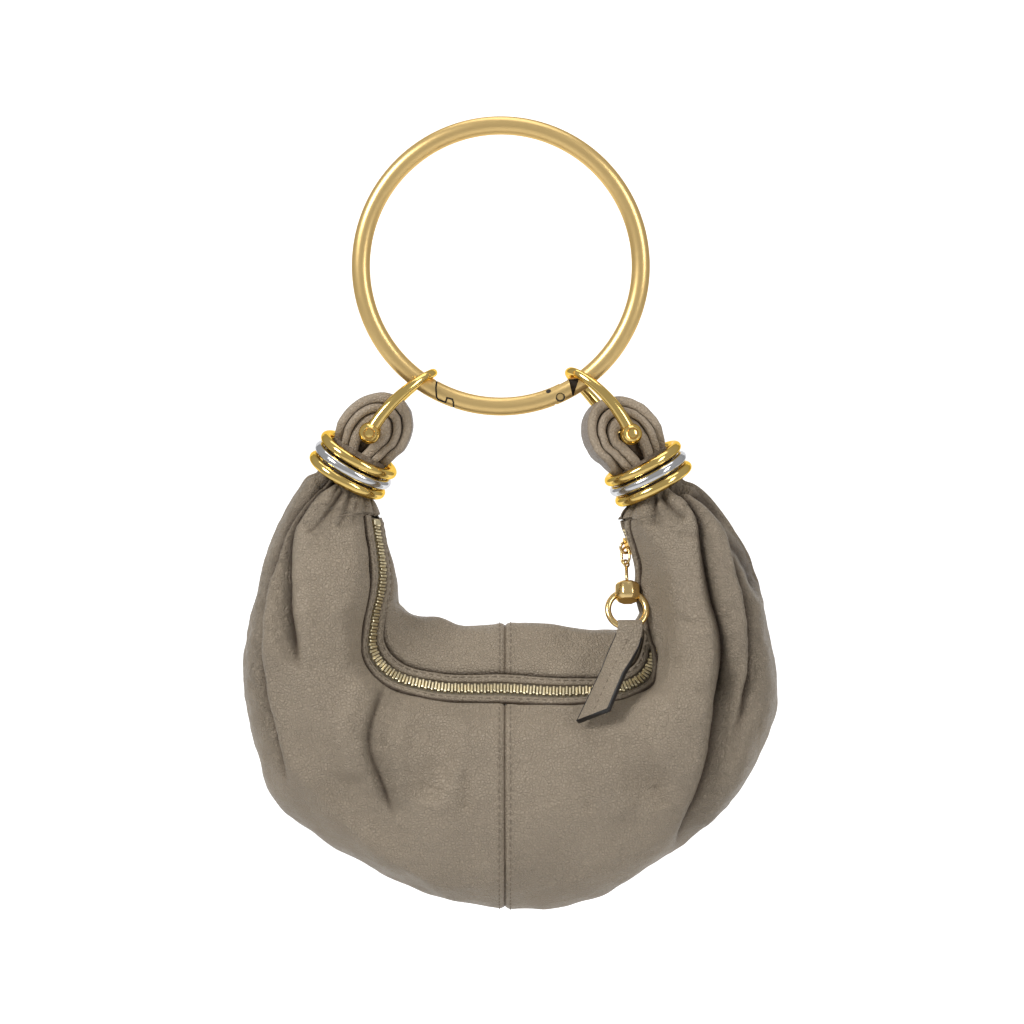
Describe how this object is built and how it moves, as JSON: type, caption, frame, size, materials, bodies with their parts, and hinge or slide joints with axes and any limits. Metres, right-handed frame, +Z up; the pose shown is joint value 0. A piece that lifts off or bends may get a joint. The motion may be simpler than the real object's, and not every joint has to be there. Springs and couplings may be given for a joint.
{
  "type": "ring handle bag",
  "caption": "Small crescent bag of taupe pebbled leather with a curved metal zip, hung by shackles and slip rings from a large round gold ring handle.",
  "frame": {"origin": "inside top of the ring handle, where it is carried or hung", "axes": "+Z up, +X to the viewer's right, front of the bag toward -Y"},
  "size_m": [0.2663, 0.0898, 0.3939],
  "materials": {
    "gold_metal": "polished",
    "silver_metal": "polished",
    "pale_gold_metal": "polished",
    "taupe_leather": "pebbled, slightly satin",
    "zip_tape": "woven, matte"
  },
  "bodies": {
    "ring": {"ring_handle": "gold_metal", "gate_pin": "gold_metal"},
    "gate": {"ring_gate": "gold_metal"},
    "bag": {"shackle_left": "gold_metal", "shackle_right": "gold_metal", "shackle_pin_left": "gold_metal", "shackle_pin_right": "gold_metal", "left_ring_upper": "gold_metal", "left_ring_lower": "gold_metal", "right_ring_upper": "gold_metal", "right_ring_lower": "gold_metal", "zip_slider": "gold_metal", "pull_link": "gold_metal", "pull_rod": "gold_metal", "pull_swivel": "gold_metal", "pull_ring": "gold_metal", "left_ring_middle": "silver_metal", "right_ring_middle": "silver_metal", "zip_chain": "pale_gold_metal", "zip_end_stop": "pale_gold_metal", "end_loop_left": "taupe_leather", "end_loop_right": "taupe_leather", "body_left": "taupe_leather", "body_right": "taupe_leather", "facing_front": "taupe_leather", "facing_back": "taupe_leather", "pull_tab": "taupe_leather", "zip_tape": "zip_tape"}
  },
  "joints": [
    {"name": "gate_hinge", "type": "hinge", "parent": "ring", "child": "gate", "pos_m": [0.02953, 0, -0.12984], "axis": [0, 1, 0], "range_deg": [0, 22], "stiffness_Nm_per_rad": 0.05, "springref_deg": -17.19},
    {"name": "bag_swing", "type": "hinge", "parent": "ring", "child": "bag", "pos_m": [0, 0, -0.12282], "axis": [1, 0, 0], "range_deg": [-32, 32]}
  ]
}
